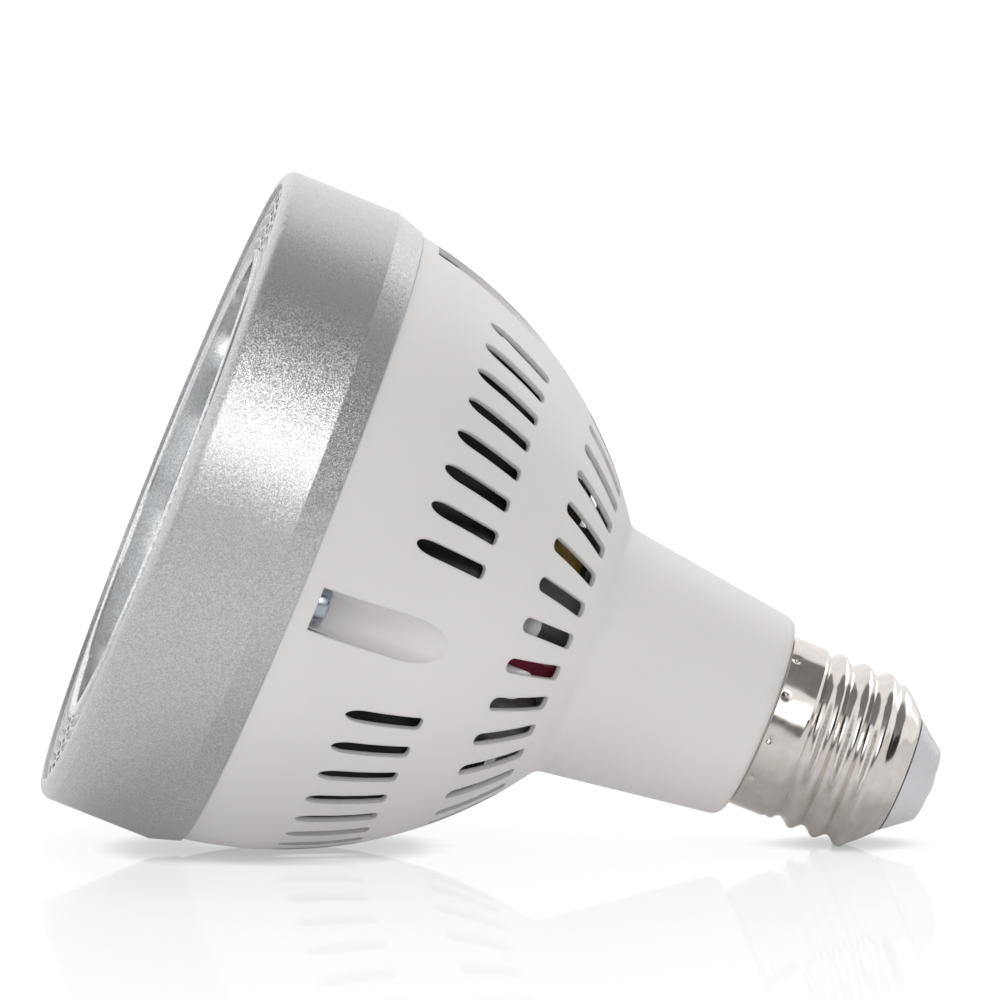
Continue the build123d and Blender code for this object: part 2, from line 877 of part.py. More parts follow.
def housing():
    """Domed shell with a tapered neck, two rows of air slots and four scooped screw channels."""
    walls = dome_arc(0.0, ring_length, dome_end) + Polyline(
        (neck_radius, dome_end),
        (neck_end_radius, neck_end),
        (spigot_radius, neck_end),
        (spigot_radius, spigot_end),
        (0, spigot_end),
        (0, ring_length),
        (housing_radius, ring_length),
    )
    profile = softened(make_face(walls), (neck_radius, dome_end), neck_root_round)
    profile = softened(profile, (neck_end_radius, neck_end), neck_end_round)
    solid = turned(profile)
    shell = solid - dome_cavity(housing_wall)
    shell -= rod(spigot_bore, neck_end - neck_floor, spigot_end)

    front_slot = slot_cutter(front_slot_start, front_slot_end, front_slot_width, front_slot_nose)
    rear_slot = slot_cutter(rear_slot_start, rear_slot_end, rear_slot_width, rear_slot_nose)
    slots = in_groups(front_slot, screw_count, front_slots_per_group, front_slot_pitch)
    shell -= slots + around(rear_slot, rear_slot_count)

    run_out = dome_height_at(ring_screw_circle - channel_radius - housing_wall)
    post = Pos(ring_screw_circle, 0, 0) * rod(channel_radius + housing_wall, ring_length, run_out)
    shell += around(post & solid, screw_count, sector)
    scoop = Pos(ring_screw_circle, 0, 0) * rod(channel_radius, channel_floor, dome_end)
    scoop += block(ring_screw_circle, 2 * housing_radius, channel_width, channel_floor, dome_end)
    scoop += Pos(ring_screw_circle, 0, 0) * rod(ring_screw_radius + screw_clearance, ring_length, dome_end)
    shell -= around(scoop, screw_count, sector)

    pillar = Pos(pillar_circle, 0, 0) * rod(pillar_radius, board_back, dome_end)
    pillar = pillar & dome_cavity(housing_wall - pillar_bite)
    shell += around(pillar, screw_count, pillar_turn)
    pillar_hole = rod(small_screw_radius + screw_clearance, board_back, board_front + small_screw_length)
    return shell - around(Pos(pillar_circle, 0, 0) * pillar_hole, screw_count, pillar_turn)


def housing_screws():
    """Screws in the scooped channels that draw the housing onto the front ring."""
    one = screw(ring_screw_radius, ring_screw_head, ring_screw_head_height, ring_screw_length)
    return separate(around(Pos(ring_screw_circle, 0, channel_floor) * one, screw_count, sector))


def cap_shell():
    """Drawn metal shell: smooth skirt, full-diameter thread length, rounded shoulder and cone."""
    outside = [
        (cap_skirt_radius, neck_end),
        (cap_skirt_radius, skirt_end),
        (cap_thread_radius, skirt_end + cap_wall),
        (cap_thread_radius, thread_end),
        (cap_thread_radius - cap_shoulder_length, cone_start),
        (cap_mouth_radius, cap_end),
    ]
    inside = [(radius - cap_wall, height - cap_wall / 2) for radius, height in reversed(outside[1:-1])]
    mouth = (cap_mouth_radius - cap_wall, cap_end - cap_wall / 2)
    skirt = (cap_skirt_radius - cap_wall, neck_end)
    return turned(outline(*outside, mouth, *inside, skirt))


def cap_insulator():
    """Moulded cone over the shell's mouth with a stem that carries the contact."""
    stem = cap_mouth_radius - cap_wall - insulator_fit
    profile = outline(
        (contact_pin_radius, cap_end - insulator_tail),
        (stem, cap_end - insulator_tail),
        (stem, cap_end),
        (insulator_base_radius, cap_end),
        (insulator_tip_radius, insulator_end),
        (contact_pin_radius, insulator_end),
    )
    return turned(softened(profile, (insulator_tip_radius, insulator_end), insulator_round))


def centre_contact():
    """Domed contact with a pin through the insulator."""
    ball = (contact_radius ** 2 + contact_height ** 2) / (2 * contact_height)
    half_turn = asin(contact_radius / ball) / 2
    middle = (ball * sin(half_turn), insulator_end + contact_height - ball * (1 - cos(half_turn)))
    dome = ThreePointArc((contact_radius, insulator_end), middle, (0, insulator_end + contact_height))
    walls = dome + Polyline(
        (0, insulator_end + contact_height),
        (0, cap_end - insulator_tail),
        (contact_pin_radius, cap_end - insulator_tail),
        (contact_pin_radius, insulator_end),
        (contact_radius, insulator_end),
    )
    return turned(make_face(walls))


pieces = {
    "front_ring": front_ring(),
    "air_grille": air_grille(),
    "glass_gasket": glass_gasket(),
    "cover_glass": cover_glass(),
    "reflector": reflector(),
    "led_board": led_board(),
    "led_emitter": led_emitter(),
    "led_screws": led_screws(),
    "heat_sink": heat_sink(),
    "heat_sink_screws": heat_sink_screws(),
    "fan_frame": fan_frame(),
    "fan_bearing": fan_bearing(),
    "fan_stator": fan_stator(),
    "fan_coils": fan_coils(),
    "fan_rotor": fan_rotor(),
    "rotor_magnet": rotor_magnet(),
    "rotor_shaft": rotor_shaft(),
    "fan_screws": fan_screws(),
    "driver_board": driver_board(),
    "board_screws": board_screws(),
    "transformer_core": transformer_core(),
    "transformer_winding": transformer_winding(),
    "bulk_capacitor": bulk_capacitor(),
    "output_capacitor": output_capacitor(),
    "film_capacitor": film_capacitor(),
    "drum_inductor": drum_inductor(),
    "input_choke": input_choke(),
    "bridge_rectifier": bridge_rectifier(),
    "fuse_resistor": fuse_resistor(),
    "led_lead_plus": led_lead(-1),
    "led_lead_minus": led_lead(1),
    "fan_leads": fan_leads(),
    "live_lead": live_lead(),
    "neutral_lead": neutral_lead(),
    "housing": housing(),
    "housing_screws": housing_screws(),
    "cap_shell": cap_shell(),
    "cap_insulator": cap_insulator(),
    "centre_contact": centre_contact(),
}

os.makedirs("parts", exist_ok=True)
for name, shape in pieces.items():
    export_step(shape, f"parts/{name}.step")
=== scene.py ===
from math import atan2, cos, exp, pi, radians, sin, tau

import bmesh
import bpy
from mathutils import Matrix, Vector


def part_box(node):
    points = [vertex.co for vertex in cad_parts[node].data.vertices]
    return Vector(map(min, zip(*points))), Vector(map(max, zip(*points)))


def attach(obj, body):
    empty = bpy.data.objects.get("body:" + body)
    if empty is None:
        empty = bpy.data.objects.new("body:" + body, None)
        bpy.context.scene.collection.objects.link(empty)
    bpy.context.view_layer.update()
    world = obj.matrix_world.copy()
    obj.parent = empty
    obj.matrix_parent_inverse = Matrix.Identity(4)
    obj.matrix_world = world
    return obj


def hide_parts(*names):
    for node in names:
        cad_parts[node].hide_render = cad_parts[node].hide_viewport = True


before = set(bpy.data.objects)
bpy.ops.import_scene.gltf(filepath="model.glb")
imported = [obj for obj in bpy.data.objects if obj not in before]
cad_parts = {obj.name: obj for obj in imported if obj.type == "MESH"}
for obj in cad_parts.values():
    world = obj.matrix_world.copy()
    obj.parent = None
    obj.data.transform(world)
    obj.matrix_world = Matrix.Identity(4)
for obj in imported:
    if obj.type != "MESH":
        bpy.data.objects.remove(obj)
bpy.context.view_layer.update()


# Front ring: a die-cast aluminium ring that carries the glass seat, its spokes and the screw bosses
# in one casting. It is sprayed with silver paint full of fine metal flake, and the lip round the glass
# is polished bare. The hollow behind the grille is darkened in colour as painted shade.

MM = 0.001
FLAKE_SIZE = 0.14 * MM
FLAKE_DARK = (0.50, 0.51, 0.525)
FLAKE_LIGHT = (0.70, 0.71, 0.72)
PAINT_EDGE = 0.25 * MM
POLISHED_INSIDE = 36.0 * MM
PAINTED_OUTSIDE = 36.6 * MM
LIP_SHINE = 1.38
LIP_ROUGHNESS = 0.10
HOLLOW_SHADE_EDGE = 45.7 * MM
PAINTED_RIM = 46.0 * MM
EDGE_SAMPLES = 2


def new_material(name):
    material = bpy.data.materials.new(name)
    material.use_nodes = True
    return material, material.node_tree.nodes["Principled BSDF"]


def add_node(material, kind, **values):
    node = material.node_tree.nodes.new(kind)
    for socket, value in values.items():
        node.inputs[socket.replace("_", " ")].default_value = value
    return node


def join(material, output, target):
    material.node_tree.links.new(output, target)


def on_object(material, texture):
    place = material.node_tree.nodes.new("ShaderNodeTexCoord")
    join(material, place.outputs["Object"], texture.inputs["Vector"])
    return texture


def noise(material, size, detail=2.0):
    """Cloudy noise whose patches are about the given size across, in metres."""
    return on_object(material, add_node(material, "ShaderNodeTexNoise", Scale=1 / size, Detail=detail))


def cells(material, size):
    """Cells of random colour about the given size across, in metres."""
    return on_object(material, add_node(material, "ShaderNodeTexVoronoi", Scale=1 / size))


def spread(material, source, low, high, start=0.3, end=0.7):
    """The source's range from start to end stretched between two values."""
    ramp = add_node(material, "ShaderNodeMapRange", From_Min=start, From_Max=end, To_Min=low, To_Max=high)
    join(material, source, ramp.inputs["Value"])
    return ramp.outputs["Result"]


def between(material, source, dark, light, start=0.3, end=0.7):
    """A colour that goes from dark to light over the source's range from start to end."""
    ramp = material.node_tree.nodes.new("ShaderNodeValToRGB")
    ramp.color_ramp.elements[0].position = start
    ramp.color_ramp.elements[0].color = (*dark, 1)
    ramp.color_ramp.elements[1].position = end
    ramp.color_ramp.elements[1].color = (*light, 1)
    join(material, source, ramp.inputs["Fac"])
    return ramp.outputs["Color"]


def vectors(material, operation, *terms):
    """Vector maths on sockets and plain triples."""
    node = material.node_tree.nodes.new("ShaderNodeVectorMath")
    node.operation = operation
    for target, term in zip(node.inputs, terms):
        if isinstance(term, bpy.types.NodeSocket):
            join(material, term, target)
        else:
            target.default_value = term
    return node.outputs["Value" if operation in ("LENGTH", "DOT_PRODUCT") else "Vector"]


def axis_radius(material):
    """Distance from the lamp's axis, in metres."""
    place = material.node_tree.nodes.new("ShaderNodeTexCoord")
    flat = vectors(material, "MULTIPLY", place.outputs["Object"], (1, 1, 0))
    return vectors(material, "LENGTH", flat)


def soft_edges(material, radius):
    """A normal that rounds every edge off to a radius."""
    edge = add_node(material, "ShaderNodeBevel", Radius=radius)
    edge.samples = EDGE_SAMPLES
    return edge.outputs["Normal"]


def raise_bump(material, shader, source, height, normal=None):
    bump = add_node(material, "ShaderNodeBump", Distance=height)
    join(material, source, bump.inputs["Height"])
    if normal:
        join(material, normal, bump.inputs["Normal"])
    join(material, bump.outputs["Normal"], shader.inputs["Normal"])


def give(material, *names):
    """Puts a finish on CAD nodes that keep their own shape."""
    for name in names:
        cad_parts[name].material_slots[0].material = material


def silver_flake_paint(name, flake_lean, roughness, painted_hollow_shade=None):
    """Silver paint whose flakes each lean a little their own way, with painted shade in the ring's hollow."""
    material, shader = new_material(name)
    flake = cells(material, FLAKE_SIZE)
    tone = between(material, flake.outputs["Color"], FLAKE_DARK, FLAKE_LIGHT)
    radius = axis_radius(material)
    # Painted shade: between the glass lip and the rim, the hollow behind the grille is darkened.
    if painted_hollow_shade:
        lip = spread(material, radius, LIP_SHINE, painted_hollow_shade, POLISHED_INSIDE, PAINTED_OUTSIDE)
        rim = spread(material, radius, painted_hollow_shade, 1.0, HOLLOW_SHADE_EDGE, PAINTED_RIM)
        tone = vectors(material, "MULTIPLY", tone, vectors(material, "MAXIMUM", lip, rim))
    join(material, tone, shader.inputs["Base Color"])
    shader.inputs["Metallic"].default_value = 0.9
    sheen = spread(material, radius, LIP_ROUGHNESS, roughness, POLISHED_INSIDE, PAINTED_OUTSIDE)
    join(material, sheen, shader.inputs["Roughness"])
    lean = spread(material, radius, 0.0, flake_lean, POLISHED_INSIDE, PAINTED_OUTSIDE)
    aside = vectors(material, "SUBTRACT", flake.outputs["Color"], (0.5, 0.5, 0.5))
    leaning = vectors(material, "MULTIPLY_ADD", aside, lean, soft_edges(material, PAINT_EDGE))
    join(material, vectors(material, "NORMALIZE", leaning), shader.inputs["Normal"])
    shader.inputs["Coat Weight"].default_value = 0.55
    shader.inputs["Coat Roughness"].default_value = 0.20
    return material


# Painted shade darkens the hollow behind the grille to this share of the paint's tone.
ring_paint = silver_flake_paint("silver_flake_paint", flake_lean=0.26, roughness=0.39, painted_hollow_shade=0.12)
give(ring_paint, "front_ring")


# Air grille: an annular sheet of steel, slit in staggered rows, pulled open into pointed slots and
# painted silver like the ring. It drops into the recess between the rim and the glass lip.

SLITS_AROUND = 28
SLIT_ROWS = 5
GRILLE_BAR = 0.56 * MM
GRILLE_INSIDE = 36.35 * MM
GRILLE_EDGE = 0.10 * MM
ARC_CUTS = 3
SAME_PLACE = 0.001 * MM
CREASE = radians(35)


def new_piece(name, shape, material, slot, *nodes):
    """Makes a finished mesh into a piece on the lamp's body that stands for CAD nodes."""
    mesh = bpy.data.meshes.new(name)
    shape.to_mesh(mesh)
    shape.free()
    mesh.polygons.foreach_set("use_smooth", [True] * len(mesh.polygons))
    mesh.set_sharp_from_angle(angle=CREASE)
    mesh.materials.append(material)
    piece = bpy.data.objects.new(name, mesh)
    bpy.context.scene.collection.objects.link(piece)
    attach(piece, "lamp")
    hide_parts(*nodes)
    return piece


def slit_sheet():
    """A flat ring of pointed slots: a bent grid turned into diamonds that are opened up."""
    low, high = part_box("air_grille")
    width = high.x - GRILLE_INSIDE
    sheet = bmesh.new()
    bmesh.ops.create_grid(sheet, x_segments=SLITS_AROUND, y_segments=SLIT_ROWS, size=0.5)
    for vert in sheet.verts:
        turn = tau * vert.co.x
        radius = GRILLE_INSIDE + width * (vert.co.y + 0.5)
        vert.co = (radius * cos(turn), radius * sin(turn), (low.z + high.z) / 2)
    bmesh.ops.remove_doubles(sheet, verts=sheet.verts, dist=SAME_PLACE)
    inner_edges = [edge for edge in sheet.edges if not edge.is_boundary]
    bmesh.ops.poke(sheet, faces=sheet.faces[:])
    bmesh.ops.dissolve_edges(sheet, edges=inner_edges)
    diamonds = [face for face in sheet.faces if len(face.verts) == 4]
    bmesh.ops.inset_individual(sheet, faces=diamonds, thickness=GRILLE_BAR / 2, use_even_offset=True)
    bmesh.ops.delete(sheet, geom=diamonds, context="FACES")
    for rim in (GRILLE_INSIDE, high.x):
        arc = [
            edge for edge in sheet.edges
            if edge.is_boundary and all(abs(vert.co.xy.length - rim) < SAME_PLACE for vert in edge.verts)
        ]
        cut = bmesh.ops.subdivide_edges(sheet, edges=arc, cuts=ARC_CUTS)
        for vert in cut["geom_inner"]:
            if isinstance(vert, bmesh.types.BMVert):
                vert.co.xy *= rim / vert.co.xy.length
    return sheet


grille_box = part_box("air_grille")
grille_paint = silver_flake_paint("silver_grille_paint", flake_lean=0.10, roughness=0.30)
grille = new_piece("slit_grille_sheet", slit_sheet(), grille_paint, "grille_metal", "air_grille")
sheet_wall = grille.modifiers.new("sheet_thickness", "SOLIDIFY")
sheet_wall.thickness = grille_box[1].z - grille_box[0].z
sheet_wall.offset = 0.0
worn = grille.modifiers.new("rolled_edges", "BEVEL")
worn.width = GRILLE_EDGE
worn.segments = 2
worn.limit_method = "ANGLE"


# Cover glass and gasket: a clear toughened pane that lies on a pale silicone ring, against the
# shoulder behind the ring's lip.

SHEEN_WANDER = 0.15
GRAIN_SIZE = 0.25 * MM
SMEAR_SIZE = 12 * MM


def mottled(name, colour, contrast, patch, roughness, metallic=0.0, grain=0.0):
    """A finish whose tone and sheen wander over patches of a size, with grain of a height in relief."""
    material, shader = new_material(name)
    cloud = noise(material, patch, detail=4.0)
    dark = [channel * (1 - contrast) for channel in colour]
    light = [min(1.0, channel * (1 + contrast)) for channel in colour]
    join(material, between(material, cloud.outputs["Fac"], dark, light), shader.inputs["Base Color"])
    glossy = roughness * (1 - SHEEN_WANDER)
    dull = min(1.0, roughness * (1 + SHEEN_WANDER))
    join(material, spread(material, cloud.outputs["Fac"], glossy, dull), shader.inputs["Roughness"])
    shader.inputs["Metallic"].default_value = metallic
    if grain:
        raise_bump(material, shader, noise(material, GRAIN_SIZE, detail=3.0).outputs["Fac"], grain)
    return material


def clear_glass():
    material, shader = new_material("clear_glass")
    shader.inputs["Transmission Weight"].default_value = 1.0
    shader.inputs["IOR"].default_value = 1.5
    shader.inputs["Base Color"].default_value = (0.96, 0.98, 0.97, 1)
    smear = noise(material, SMEAR_SIZE, detail=3.0)
    join(material, spread(material, smear.outputs["Fac"], low=0.0, high=0.04), shader.inputs["Roughness"])
    return material


give(mottled("pale_silicone", (0.78, 0.78, 0.76), contrast=0.04, patch=3 * MM, roughness=0.6), "glass_gasket")
give(clear_glass(), "cover_glass")


# Reflector: a bowl spun from thin aluminium and polished, with faint rings left by the spinning
# tool. Its flange rests on the glass and its collar on the light board.

GROOVE_DULL = 1.2


def banded(name, dark, light, pitch, kind, roughness, metallic, relief):
    """A finish in fine bands of a pitch: rings about the axis, or level turns up it."""
    material, shader = new_material(name)
    # The wave texture repeats every pi / 10 at a scale of 1.
    wave = add_node(material, "ShaderNodeTexWave", Scale=pi / (10 * pitch), Distortion=0.4)
    wave.wave_type = kind
    wave.rings_direction = "Z"
    wave.bands_direction = "Z"
    bands = on_object(material, wave).outputs["Fac"]
    join(material, between(material, bands, dark, light, start=0.0, end=1.0), shader.inputs["Base Color"])
    join(material, spread(material, bands, roughness * GROOVE_DULL, roughness), shader.inputs["Roughness"])
    shader.inputs["Metallic"].default_value = metallic
    raise_bump(material, shader, bands, relief)
    return material


spun_aluminium = banded(
    "spun_reflector", dark=(0.84, 0.84, 0.85), light=(0.90, 0.90, 0.91), pitch=0.5 * MM, kind="RINGS",
    roughness=0.12, metallic=1.0, relief=0.002 * MM,
)
give(spun_aluminium, "reflector")


# Light board and emitter: a white metal-core board with a round patch of yellow phosphor, held to
# the heat sink by two small zinc-plated cross-head screws.

SCREW_STEPS = 32
TIP_TAPER = 0.6
HEAD_FLAT = 0.62
HEAD_SIDE = 0.40
SHOULDER_OUT = 0.75
SHOULDER_UP = 0.72
CROSS_REACH = 0.50
CROSS_WIDTH = 0.13
CROSS_DEPTH = 0.55
CROSS_TAPER = 0.8
zinc_plate = mottled(
    "zinc_plate", (0.48, 0.53, 0.60), contrast=0.10, patch=1.2 * MM, roughness=0.26, metallic=1.0
)


def add_screw(shape, place, shank, head, head_height, length):
    """One pan-head screw: a spun body, and a cross recess sunk in the flat of its head."""
    before = set(shape.verts)
    flat = head * HEAD_FLAT
    side = head_height * HEAD_SIDE
    shoulder_radius = flat + (head - flat) * SHOULDER_OUT
    shoulder_height = side + (head_height - side) * SHOULDER_UP
    outline = [
        Vector((0, 0, -length)),
        Vector((shank * TIP_TAPER, 0, -length)),
        Vector((shank, 0, -length + shank)),
        Vector((shank, 0, 0)),
        Vector((head, 0, 0)),
        Vector((head, 0, side)),
        Vector((shoulder_radius, 0, shoulder_height)),
        Vector((flat, 0, head_height)),
    ]
    verts = [shape.verts.new(point) for point in outline]
    edges = [shape.edges.new(pair) for pair in zip(verts, verts[1:])]
    bmesh.ops.spin(
        shape, geom=verts + edges, axis=(0, 0, 1), cent=(0, 0, 0), angle=tau, steps=SCREW_STEPS,
        use_merge=True,
    )
    body = [vert for vert in shape.verts if vert not in before]
    bmesh.ops.remove_doubles(shape, verts=body, dist=SAME_PLACE)
    body = [vert for vert in shape.verts if vert not in before]
    brim = list({edge for vert in body for edge in vert.link_edges if edge.is_boundary})
    reach = head * CROSS_REACH
    half = head * CROSS_WIDTH
    cross = []
    for quarter in range(4):
        turn = Matrix.Rotation(quarter * pi / 2, 3, "Z")
        for corner in ((reach, -half), (reach, half), (half, half)):
            cross.append(shape.verts.new(turn @ Vector((*corner, head_height))))
    cross_edges = [shape.edges.new(pair) for pair in zip(cross, cross[1:] + cross[:1])]
    bmesh.ops.triangle_fill(shape, use_beauty=True, edges=brim + cross_edges)
    cross_faces = [face for face in shape.faces if all(vert in cross for vert in face.verts)]
    bmesh.ops.delete(shape, geom=cross_faces, context="FACES_ONLY")
    sunk = bmesh.ops.extrude_edge_only(shape, edges=cross_edges)["geom"]
    floor_verts = [item for item in sunk if isinstance(item, bmesh.types.BMVert)]
    bmesh.ops.scale(shape, vec=(CROSS_TAPER, CROSS_TAPER, 1), verts=floor_verts)
    bmesh.ops.translate(shape, vec=(0, 0, -head_height * CROSS_DEPTH), verts=floor_verts)
    floor_edges = [item for item in sunk if isinstance(item, bmesh.types.BMEdge)]
    bmesh.ops.edgeloop_fill(shape, edges=floor_edges)
    bmesh.ops.transform(shape, matrix=place, verts=[vert for vert in shape.verts if vert not in before])


def cross_head_screws(node, count, turn, shank, head, head_height, head_up=True):
    """Screws that stand where a CAD node's plain ones do, with their heads up or down."""
    low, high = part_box(node)
    turns = [radians(turn) + tau * step / count for step in range(count)]
    circle = (high.x - head) / max(cos(bearing) for bearing in turns)
    seat = high.z - head_height if head_up else low.z + head_height
    length = seat - low.z if head_up else high.z - seat
    shape = bmesh.new()
    for bearing in turns:
        place = Matrix.Translation((circle * cos(bearing), circle * sin(bearing), seat))
        tip = Matrix.Rotation(bearing if head_up else bearing + pi, 4, "Z")
        over = Matrix.Rotation(0 if head_up else pi, 4, "X")
        add_screw(shape, place @ tip @ over, shank, head, head_height, length)
    bmesh.ops.recalc_face_normals(shape, faces=shape.faces)
    return new_piece(f"cross_head_{node}", shape, zinc_plate, "zinc_steel", node)


white_light_board = mottled(
    "white_light_board", (0.86, 0.86, 0.84), contrast=0.03, patch=2 * MM, roughness=0.45
)
give(white_light_board, "led_board")
yellow_phosphor = mottled(
    "yellow_phosphor", (0.86, 0.62, 0.10), contrast=0.06, patch=1 * MM, roughness=0.5
)
give(yellow_phosphor, "led_emitter")
cross_head_screws(
    "led_screws", count=2, turn=0, shank=1.0 * MM, head=1.5 * MM, head_height=1.1 * MM, head_up=False
)


# Heat sink: a bare die-cast aluminium plate with fins that hang in the air path behind the grille.
# Four screws through its lugs hold it to the front ring.

bare_cast_aluminium = mottled(
    "bare_cast_aluminium", (0.62, 0.63, 0.64), contrast=0.08, patch=2 * MM,
    roughness=0.42, metallic=1.0, grain=0.02 * MM,
)
give(bare_cast_aluminium, "heat_sink")
cross_head_screws("heat_sink_screws", count=4, turn=0, shank=1.5 * MM, head=2.8 * MM, head_height=1.9 * MM)


# Fan: a black moulded duct with its motor base and struts in one piece, a bronze sleeve bearing, a
# varnished steel stator with copper coils, and a black bladed hub that turns on a steel shaft.

fan_black = mottled(
    "fan_black_plastic", (0.018, 0.017, 0.016), contrast=0.25, patch=1 * MM, roughness=0.40, grain=0.01 * MM
)
give(fan_black, "fan_frame", "fan_rotor")
sintered_bronze = mottled(
    "sintered_bronze", (0.50, 0.31, 0.14), contrast=0.15, patch=0.5 * MM, roughness=0.4, metallic=1.0
)
give(sintered_bronze, "fan_bearing")
bonded_magnet = mottled(
    "bonded_magnet", (0.06, 0.06, 0.065), contrast=0.2, patch=0.8 * MM, roughness=0.55
)
give(bonded_magnet, "rotor_magnet")
varnished_core = mottled(
    "varnished_core", (0.22, 0.22, 0.23), contrast=0.15, patch=0.6 * MM, roughness=0.4, metallic=0.7
)
give(varnished_core, "fan_stator")
enamelled_copper = banded(
    "enamelled_copper", dark=(0.36, 0.13, 0.04), light=(0.66, 0.28, 0.10), pitch=0.3 * MM, kind="RINGS",
    roughness=0.3, metallic=0.9, relief=0.1 * MM,
)
give(enamelled_copper, "fan_coils")
ground_steel = mottled(
    "ground_steel", (0.62, 0.63, 0.64), contrast=0.05, patch=0.5 * MM, roughness=0.2, metallic=1.0
)
give(ground_steel, "rotor_shaft")
cross_head_screws("fan_screws", count=4, turn=22.5, shank=1.25 * MM, head=2.2 * MM, head_height=1.4 * MM)


# Driver board: a round glass-laminate board under green solder mask, screwed to the housing's
# pillars from the front, with its tall parts standing up into the dome.

green_circuit_board = mottled(
    "green_circuit_board", (0.03, 0.14, 0.06), contrast=0.30, patch=1.5 * MM, roughness=0.35
)
give(green_circuit_board, "driver_board")
cross_head_screws(
    "board_screws", count=4, turn=50.625, shank=1.25 * MM, head=2.2 * MM, head_height=1.4 * MM, head_up=False
)


# Wound parts on the board: a ferrite transformer wrapped in yellow tape, a drum inductor and a ring
# choke, both close-wound with dark enamelled wire.

dark_ferrite = mottled(
    "dark_ferrite", (0.045, 0.045, 0.05), contrast=0.2, patch=0.8 * MM, roughness=0.5
)
give(dark_ferrite, "transformer_core")
yellow_tape = mottled(
    "yellow_tape", (0.50, 0.33, 0.04), contrast=0.15, patch=1.5 * MM, roughness=0.3
)
give(yellow_tape, "transformer_winding")
wound_ferrite = banded(
    "wound_ferrite", dark=(0.03, 0.025, 0.02), light=(0.12, 0.07, 0.04), pitch=0.5 * MM, kind="BANDS",
    roughness=0.35, metallic=0.3, relief=0.1 * MM,
)
give(wound_ferrite, "drum_inductor", "input_choke")


# Capacitors and small parts on the board: two sleeved aluminium cans, a film capacitor dipped in
# dark red resin, a moulded rectifier and an upright resistor in a white woven sleeve.

grey_can_sleeve = mottled(
    "grey_can_sleeve", (0.25, 0.24, 0.23), contrast=0.08, patch=2 * MM, roughness=0.3
)
give(grey_can_sleeve, "bulk_capacitor", "output_capacitor")
dipped_red_resin = mottled(
    "dipped_red_resin", (0.36, 0.012, 0.05), contrast=0.12, patch=1.5 * MM, roughness=0.22
)
give(dipped_red_resin, "film_capacitor")
black_moulding = mottled(
    "black_moulding", (0.02, 0.02, 0.022), contrast=0.15, patch=0.8 * MM, roughness=0.5
)
give(black_moulding, "bridge_rectifier")
white_sleeve = mottled(
    "white_sleeve", (0.82, 0.82, 0.80), contrast=0.05, patch=0.8 * MM, roughness=0.6
)
give(white_sleeve, "fuse_resistor")


# Leads: stranded wires in coloured insulation from the board to the light board, the fan, the cap's
# shell and its centre contact.

red_insulation = mottled(
    "red_insulation", (0.42, 0.01, 0.02), contrast=0.08, patch=1 * MM, roughness=0.35
)
give(red_insulation, "led_lead_plus")
black_insulation = mottled(
    "black_insulation", (0.015, 0.015, 0.015), contrast=0.1, patch=1 * MM, roughness=0.35
)
give(black_insulation, "led_lead_minus", "fan_leads")
white_insulation = mottled(
    "white_insulation", (0.8, 0.8, 0.78), contrast=0.04, patch=1 * MM, roughness=0.4
)
give(white_insulation, "live_lead", "neutral_lead")


# Housing: the dome and neck, one thin-walled off-white moulding with two rows of air slots and four
# scooped channels. Its skin is a fine satin, and its edges are a little soft from the mould.

HOUSING_EDGE = 0.5 * MM
HOUSING_DARK = (0.780, 0.757, 0.748)
HOUSING_LIGHT = (0.805, 0.783, 0.775)
HOUSING_PATCH = 25 * MM
SKIN_SIZE = 0.18 * MM
SKIN_HEIGHT = 0.003 * MM


def satin_housing_plastic():
    material, shader = new_material("satin_housing_plastic")
    cloud = noise(material, HOUSING_PATCH, detail=3.0)
    tone = between(material, cloud.outputs["Fac"], HOUSING_DARK, HOUSING_LIGHT)
    join(material, tone, shader.inputs["Base Color"])
    skin = noise(material, SKIN_SIZE, detail=2.0)
    join(material, spread(material, skin.outputs["Fac"], low=0.42, high=0.52), shader.inputs["Roughness"])
    raise_bump(material, shader, skin.outputs["Fac"], SKIN_HEIGHT, soft_edges(material, HOUSING_EDGE))
    return material


give(satin_housing_plastic(), "housing")


# Housing screws: four zinc-plated pan heads, sunk at the foot of the scooped channels, that draw the
# housing onto the front ring.

cross_head_screws("housing_screws", count=4, turn=45, shank=1.5 * MM, head=2.8 * MM, head_height=1.9 * MM)


# Cap shell: drawn from thin brass, rolled with a round lamp thread and nickel plated. Its smooth
# skirt is crimped to the housing's spigot by a ring of punch marks.

CAP_STEPS = 240
CAP_WALL = 0.35 * MM
CAP_GAP = 0.30 * MM
SKIRT_RADIUS = 12.9 * MM
SKIRT_END = 98.4 * MM
THREAD_ROOT = 12.0 * MM
THREAD_CREST = 13.1 * MM
THREAD_START = 99.4 * MM
THREAD_END = 111.0 * MM
THREAD_PITCH = 3.70 * MM
THREAD_RUN_IN = 1.6 * MM
THREAD_CUTS = 44
SKIRT_CUTS = 20
ROOT_CUTS = 4
CONE_CUTS = 3
SHOULDER_POINTS = ((11.85 * MM, 111.7 * MM), (11.3 * MM, 112.4 * MM))
CONE_POINTS = ((9.3 * MM, 114.5 * MM), (8.7 * MM, 114.9 * MM))
MOUTH_RADIUS = 8.2 * MM
CREST_HEIGHT = 101.0 * MM
CREST_BEARING = radians(-55.85)
PUNCH_COUNT = 12
PUNCH_BEARING = radians(14)
PUNCH_SETBACK = 1.2 * MM
PUNCH_RADIUS = 0.42 * MM
PUNCH_DEPTH = 0.45 * MM
CRIMP_PULL = 0.07 * MM
CRIMP_REACH = 3.0 * MM
NICKEL_DARK = (0.71, 0.665, 0.625)
NICKEL_LIGHT = (0.80, 0.76, 0.72)
NICKEL_PATCH = 2 * MM
DRAWN_WAVE = 3.5 * MM
DRAWN_HEIGHT = 0.12 * MM


def ease(value, start, end):
    """Goes smoothly from 0 at the start to 1 at the end."""
    share = min(1.0, max(0.0, (value - start) / (end - start)))
    return share * share * (3 - 2 * share)


